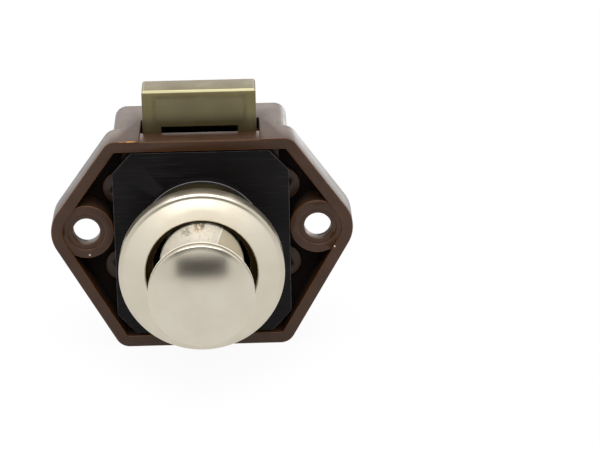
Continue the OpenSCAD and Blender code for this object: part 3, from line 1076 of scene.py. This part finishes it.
@dataclass(frozen=True)
class Coil:
    """A spring of round wire with closed end turns, in millimetres."""

    start: Place
    along: Place
    mean: float
    wire: float
    turns: int
    length: float
    steps: int = 48
    facets: int = 14

    def wind(self, name: str) -> Piece:
        """Wind the spring.

        Args:
            name: Name of the new piece.

        Returns:
            The new piece.
        """
        along, half = Vector(self.along), self.wire / 2 * MM
        side = along.orthogonal().normalized()
        centre = Vector([value * MM for value in self.start]) + along * half
        across = Matrix((side, along, side.cross(along))).transposed().to_4x4()
        shape = bmesh.new()
        ring = bmesh.ops.create_circle(shape, segments=self.facets, radius=half, cap_ends=False)["verts"]
        lay = Matrix.Translation(centre + side * (self.mean * MM)) @ across
        bmesh.ops.transform(shape, matrix=lay, verts=ring)
        rise = (self.length - 2 * self.wire) / self.turns * MM / self.steps
        flat = (self.steps, half / self.steps)
        geometry = shape.edges[:]
        for count, lift in (flat, (self.steps * self.turns, rise), flat):
            wound = bmesh.ops.spin(
                shape,
                geom=geometry,
                cent=centre,
                axis=along,
                dvec=along * lift,
                angle=math.tau * count / self.steps,
                steps=count,
            )
            geometry = [item for item in wound["geom_last"] if isinstance(item, bmesh.types.BMEdge)]
        bmesh.ops.remove_doubles(shape, verts=shape.verts, dist=0.001 * MM)
        bmesh.ops.holes_fill(shape, edges=[edge for edge in shape.edges if edge.is_boundary], sides=0)
        bmesh.ops.recalc_face_normals(shape, faces=shape.faces)
        piece = new_object(name, shape)
        smooth(piece)
        return piece


class Workshop:
    """Dresses pieces, and keeps one material for each finish."""

    def __init__(self) -> None:
        """Build the shared effects."""
        self.effects = Effects()
        self.made: dict[str, bpy.types.Material] = {}

    def material(self, finish: Finish) -> bpy.types.Material:
        """Give the material of a finish, made on first use.

        Args:
            finish: The finish.

        Returns:
            Its material.
        """
        if finish.name not in self.made:
            self.made[finish.name] = finish.material(self.effects)
        return self.made[finish.name]

    def dress(self, piece: Piece, finish: Finish, body: str) -> None:
        """Give a piece its finish and the body it rides on.

        Args:
            piece: The piece.
            finish: Its finish.
            body: The body that carries it.
        """
        piece.data.materials.clear()
        piece.data.materials.append(self.material(finish))
        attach(piece, body)
        LOG.info("%s: %d faces, %s, rides on %s", piece.name, len(piece.data.polygons), finish.name, body)


@dataclass
class Housing:
    """The case, the plate that closes it and the barrel through both."""

    case_edge: float = 0.22
    plate_edge: float = 0.12
    barrel_edge: float = 0.15
    body: str = "housing"

    def build(self, shop: Workshop) -> None:
        """Build and dress the three pieces.

        Args:
            shop: Dresses the pieces.
        """
        shop.dress(softened("case", "case_moulding", self.case_edge), CASE_BROWN, self.body)
        shop.dress(softened("retainer_plate", "plate_with_collar", self.plate_edge), PLATE_BLACK, self.body)
        shop.dress(softened("barrel", "barrel_tube", self.barrel_edge), BARREL_OLIVE, self.body)


@dataclass
class Rosette:
    """The satin ring on the door front."""

    outer: float = 16.0
    hole: float = 10.8
    socket: float = 12.22
    rear: float = 15.8
    seat: float = 17.0
    side: float = 19.2
    shoulder: float = 15.0
    front: float = 20.1
    fall: float = 0.3
    hole_bevel: float = 0.2
    rear_round: float = 0.25
    inner_round: float = 0.1
    body: str = "housing"

    def _shoulder(self) -> list[Corner]:
        """Draw the rounded shoulder.

        Returns:
            Its corners, from the side to the face.
        """
        swell, rise = self.outer - self.shoulder, self.front - self.fall - self.side
        turns = [math.pi / 2 * step / ARC_STEPS for step in range(ARC_STEPS + 1)]
        return [
            Corner(self.shoulder + swell * math.cos(turn), self.side + rise * math.sin(turn))
            for turn in turns
        ]

    def build(self, shop: Workshop) -> None:
        """Turn the ring from its profile.

        Args:
            shop: Dresses the ring.
        """
        piece = turned(
            "rosette_ring",
            [
                Corner(self.outer, self.rear, self.rear_round, steps=3),
                *self._shoulder(),
                Corner(self.hole + self.hole_bevel, self.front),
                Corner(self.hole, self.front - self.hole_bevel),
                Corner(self.hole, self.seat, self.inner_round, steps=2),
                Corner(self.socket, self.seat),
                Corner(self.socket, self.rear, self.inner_round, steps=2),
            ],
        )
        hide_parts("rosette")
        shop.dress(piece, ROSETTE_NICKEL, self.body)


@dataclass
class Button:
    """The knob with its cross pin, spindle, stop clip and spring."""

    disc: float = 10.1
    disc_rear: float = 29.6
    disc_edge: float = 2.3
    disc_round: float = 0.2
    rim_inset: float = 0.25
    rim_lift: float = 0.12
    rim_round: float = 0.16
    dome: float = 2.5
    dome_lift: float = 0.2
    neck: float = 5.0
    neck_round: float = 0.9
    flange: float = 8.2
    flange_rear: float = 13.2
    flange_edge: float = 0.8
    flange_lift: float = 0.25
    flange_round: Point = (0.12, 0.28)
    fillet: float = 1.2
    pin_hole: float = 0.82
    pin_ahead: float = 24.0
    drill_length: float = 14.0
    pin_edge: float = 0.12
    spindle_edge: float = 0.15
    clip_edge: float = 0.08
    spring_mean: float = 7.45
    spring_wire: float = 0.8
    spring_turns: int = 4
    spring_seat: float = 1.95
    travel: float = 10.0
    body: str = "button"

    def _dome(self) -> list[Corner]:
        """Draw the domed front.

        Returns:
            Its corners, from the edge to the axis.
        """
        rim = self.disc - self.rim_inset
        base = self.disc_rear + self.disc_edge + self.dome_lift
        radius = (rim * rim + self.dome * self.dome) / (2 * self.dome)
        angles = [math.asin(rim / radius) * (1 - step / ARC_STEPS) for step in range(ARC_STEPS + 1)]
        return [
            Corner(radius * math.sin(angle), base + self.dome - radius * (1 - math.cos(angle)))
            for angle in angles
        ]

    def _knob(self) -> Piece:
        """Turn the spool shaped knob and bore the pin hole.

        Returns:
            The knob.
        """
        front = self.flange_rear + self.flange_edge + self.flange_lift
        rear_round, front_round = self.flange_round
        piece = turned(
            "spool_knob",
            [
                Corner(0.0, self.flange_rear),
                Corner(self.flange, self.flange_rear, rear_round, steps=2),
                Corner(self.flange, front, front_round, steps=4),
                Corner(self.neck, front, self.fillet, steps=8),
                Corner(self.neck, self.disc_rear, self.neck_round, steps=6),
                Corner(self.disc, self.disc_rear, self.disc_round, steps=3),
                Corner(self.disc, self.disc_rear + self.disc_edge + self.rim_lift, self.rim_round, steps=3),
                *self._dome(),
            ],
            closed=False,
        )
        self._bore(piece)
        return piece

    def _bore(self, piece: Piece) -> None:
        """Cut the upright hole of the cross pin through the neck.

        Args:
            piece: The knob, whose mesh is changed.
        """
        shape = bmesh.new()
        radius, depth = self.pin_hole * MM, self.drill_length * MM
        bmesh.ops.create_cone(shape, cap_ends=True, segments=32, radius1=radius, radius2=radius, depth=depth)
        bmesh.ops.translate(shape, verts=shape.verts, vec=(0, -self.pin_ahead * MM, 0))
        drill = new_object("pin_drill", shape)
        cut = piece.modifiers.new("pin_hole", "BOOLEAN")
        cut.operation, cut.solver, cut.object = "DIFFERENCE", "EXACT", drill
        ready = piece.evaluated_get(bpy.context.evaluated_depsgraph_get())
        bored = bpy.data.meshes.new_from_object(ready)
        piece.modifiers.clear()
        piece.data = bored
        bpy.data.objects.remove(drill)
        smooth(piece)

    def build(self, shop: Workshop) -> None:
        """Build and dress the five pieces.

        Args:
            shop: Dresses the pieces.
        """
        knob = self._knob()
        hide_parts("knob")
        shop.dress(knob, KNOB_NICKEL, self.body)
        shop.dress(softened("knob_pin", "knob_cross_pin", self.pin_edge), BRIGHT_STEEL, self.body)
        shop.dress(softened("spindle", "spindle_bar", self.spindle_edge), SPINDLE_BLACK, self.body)
        shop.dress(softened("stop_clip", "stop_clip_steel", self.clip_edge), BRIGHT_STEEL, self.body)
        length = self.flange_rear + self.spring_seat
        seat, ahead = (0, self.spring_seat, 0), (0, -1, 0)
        coil = Coil(seat, ahead, self.spring_mean, self.spring_wire, self.spring_turns, length)
        spring = coil.wind("button_coil")
        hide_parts("button_spring")
        shop.dress(spring, BRIGHT_STEEL, "housing")
        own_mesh(spring)


@dataclass
class Latch:
    """The bolt with its cam pin and spring."""

    bolt_edge: float = 0.2
    pin_edge: float = 0.15
    spring_mean: float = 3.1
    spring_wire: float = 0.7
    spring_turns: int = 5
    spring_low: float = -20.6
    spring_high: float = -9.4
    spring_y: float = 9.8
    travel: float = 6.0
    body: str = "latch"

    def build(self, shop: Workshop) -> None:
        """Build and dress the three pieces.

        Args:
            shop: Dresses the pieces.
        """
        shop.dress(softened("bolt", "square_bolt", self.bolt_edge), BOLT_OLIVE, self.body)
        shop.dress(softened("cam_pin", "cam_pin_steel", self.pin_edge), BRIGHT_STEEL, self.body)
        length = self.spring_high - self.spring_low
        foot, up = (0, self.spring_y, self.spring_low), (0, 0, 1)
        coil = Coil(foot, up, self.spring_mean, self.spring_wire, self.spring_turns, length)
        spring = coil.wind("bolt_coil")
        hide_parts("bolt_spring")
        shop.dress(spring, BRIGHT_STEEL, "housing")
        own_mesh(spring)


@dataclass(frozen=True)
class Lamp:
    """A rectangular soft light, in metres and watts, that may light one piece alone."""

    name: str
    place: Place
    aim: Place
    size: Point
    power: float
    mirrored: bool = True
    piece: str = ""
    shaded_by_others: bool = True

    def hang(self) -> None:
        """Hang the lamp, and link it to its piece if it has one."""
        data = bpy.data.lights.new(self.name, "AREA")
        data.shape, data.size, data.size_y = "RECTANGLE", *self.size
        data.energy = self.power
        lamp = bpy.data.objects.new(self.name, data)
        bpy.context.scene.collection.objects.link(lamp)
        lamp.location = self.place
        lamp.rotation_euler = (Vector(self.aim) - Vector(self.place)).to_track_quat("-Z", "Y").to_euler()
        lamp.visible_glossy = self.mirrored
        lamp.visible_camera = False
        if self.piece:
            lit = bpy.data.collections.new(self.name + "_receivers")
            lit.objects.link(bpy.data.objects[self.piece])
            lamp.light_linking.receiver_collection = lit
            if not self.shaded_by_others:
                lamp.light_linking.blocker_collection = lit


def stage(name: str, shape: Shape) -> tuple[Piece, Sheet]:
    """Put a plain shape on the stage, with a material still to be filled.

    Args:
        name: Name of the object, its mesh and its material.
        shape: The shape, which is freed.

    Returns:
        The object and its material's sheet.
    """
    thing = new_object(name, shape)
    material = bpy.data.materials.new(name)
    material.use_nodes = True
    thing.data.materials.append(material)
    return thing, Sheet(material.node_tree)


@dataclass(frozen=True)
class Card:
    """A card that only reflections show, in metres, with its colour as light."""

    name: str
    place: Place
    aim: Place
    size: Point
    colour: Colour

    def hang(self) -> None:
        """Hang the card."""
        shape = bmesh.new()
        bmesh.ops.create_grid(shape, x_segments=1, y_segments=1, size=0.5)
        turn = (Vector(self.aim) - Vector(self.place)).to_track_quat("Z", "Y").to_matrix().to_4x4()
        stretch = Matrix.Diagonal((*self.size, 1.0, 1.0))
        bmesh.ops.transform(shape, matrix=Matrix.Translation(self.place) @ turn @ stretch, verts=shape.verts)
        card, s = stage(self.name, shape)
        glow = s.add("Emission", Color=rgba(self.colour), Strength=1.0)
        s.add("OutputMaterial", Surface=glow.outputs[0])
        card.visible_camera = card.visible_diffuse = card.visible_shadow = False


@dataclass(frozen=True)
class Studio:
    """Camera, soft lights, pale floor and plain white surroundings.

    The camera's place and the floor's height are in millimetres, and angles in degrees.
    """

    focal: float = 162.0
    sensor: float = 36.0
    clip: Point = (0.01, 20.0)
    place: Place = (8.7806, -504.6543, 183.9624)
    azimuth: float = -1.2114
    elevation: float = 19.8104
    roll: float = -1.0545
    floor: float = -22.9
    floor_half: float = 4.0
    floor_tone: float = 0.82
    floor_share: float = 0.94
    soft_world: float = 0.5
    glossy_world: float = 0.92
    glossy_colour: Colour = (0.98, 0.97, 0.95)
    lamps: tuple[Lamp, ...] = (
        Lamp("top_softbox", (0.0, 0.05, 0.9), (0, 0, 0), (1.1, 0.8), 7.0),
        Lamp("key_softbox", (0.0, -0.5, 0.75), (0, -0.01, 0), (0.8, 0.4), 3.0),
        Lamp("front_fill", (0.05, -0.75, 0.33), (0, -0.01, 0), (1.2, 0.5), 2.3, mirrored=False),
    )
    cards: tuple[Card, ...] = (
        Card("dark_card", (0.004, -0.45, 0.128), (0.0, -0.034, 0.005), (0.46, 0.18), BLACK),
        Card("back_card", (0.0, 0.6, 0.22), (0.0, 0.0, 0.02), (1.2, 0.4), (1.55, 1.46, 1.4)),
    )
    piece_lamps: tuple[Lamp, ...] = (
        Lamp(
            "ring_glint",
            (-0.0015, -0.090, -0.0095),
            (0.0, -0.02, 0.0145),
            (0.012, 0.012),
            0.005,
            piece="rosette_ring",
            shaded_by_others=False,
        ),
        Lamp(
            "flank_kicker",
            (0.088, 0.19, -0.008),
            (0.024, 0.006, 0.008),
            (0.09, 0.05),
            0.022,
            piece="case_moulding",
        ),
        Lamp(
            "throat_light",
            (0.0, -0.0182, 0.0102),
            (0.0, -0.0145, 0.004),
            (0.012, 0.0015),
            0.0003,
            piece="spool_knob",
        ),
    )

    def camera(self) -> None:
        """Set the camera at the photograph's place and angle."""
        a, e, r = (math.radians(value) for value in (self.azimuth, self.elevation, self.roll))
        back = Vector((math.sin(a) * math.cos(e), -math.cos(a) * math.cos(e), math.sin(e)))
        right = (-back).cross(Vector((0, 0, 1))).normalized()
        up = right.cross(-back)
        side = right * math.cos(r) + up * math.sin(r)
        top = up * math.cos(r) - right * math.sin(r)
        data = bpy.data.cameras.new("camera")
        data.lens, data.sensor_width, data.sensor_fit = self.focal, self.sensor, "HORIZONTAL"
        data.clip_start, data.clip_end = self.clip
        camera = bpy.data.objects.new("camera", data)
        bpy.context.scene.collection.objects.link(camera)
        turn = Matrix((side, top, back)).transposed().to_4x4()
        camera.matrix_world = Matrix.Translation(Vector(self.place) * MM) @ turn
        bpy.context.scene.camera = camera

    def surroundings(self) -> None:
        """Plain world: white to the camera, soft light to the object."""
        world = bpy.data.worlds.new("surroundings")
        world.use_nodes = True
        bpy.context.scene.world = world
        s = Sheet(world.node_tree)
        path = s.add("LightPath").outputs
        white = s.add("Background", Color=rgba(WHITE), Strength=1.0)
        glossy = s.add("Background", Color=rgba(self.glossy_colour), Strength=self.glossy_world)
        soft = s.add("Background", Color=rgba(WHITE), Strength=self.soft_world)
        shown = s.math("MAXIMUM", path["Is Camera Ray"], path["Is Transmission Ray"])
        light = s.shaders(path["Is Glossy Ray"], soft, glossy)
        s.add("OutputWorld", Surface=s.shaders(shown, light, white).outputs[0])

    def ground(self) -> None:
        """Lay the pale floor under the case, white to camera, metal and glass, with its shadow."""
        shape = bmesh.new()
        bmesh.ops.create_grid(shape, x_segments=1, y_segments=1, size=self.floor_half)
        bmesh.ops.translate(shape, verts=shape.verts, vec=(0, 0, self.floor * MM))
        _, s = stage("pale_floor", shape)
        path = s.add("LightPath").outputs
        seen = s.math("MAXIMUM", path["Is Camera Ray"], path["Is Glossy Ray"])
        seen = s.math("MAXIMUM", seen, path["Is Transmission Ray"])
        paint = s.add("BsdfDiffuse", Color=rgba((self.floor_tone,) * 3))
        glow = s.add("Emission", Color=rgba(WHITE), Strength=1.0)
        mix = s.shaders(s.times(seen, self.floor_share), paint, glow)
        s.add("OutputMaterial", Surface=mix.outputs[0])

    def build(self) -> None:
        """Set camera, surroundings, floor, lamps and cards."""
        self.camera()
        self.surroundings()
        self.ground()
        for item in (*self.lamps, *self.cards):
            item.hang()
        LOG.info("studio ready, floor at %.1f mm", self.floor)

    def light_pieces(self) -> None:
        """Hang the lamps that light one piece alone, once the pieces are there."""
        for lamp in self.piece_lamps:
            lamp.hang()


def main() -> None:
    """Build the studio and the catch, piece by piece."""
    logging.basicConfig(level=logging.INFO, format="%(name)s: %(message)s")
    bpy.context.scene.view_settings.view_transform = "Standard"
    shop = Workshop()
    studio = Studio()
    studio.build()
    for assembly in (Housing(), Rosette(), Button(), Latch()):
        assembly.build(shop)
        LOG.info("%s built", type(assembly).__name__)
    studio.light_pieces()


if __name__ == "__main__":
    main()
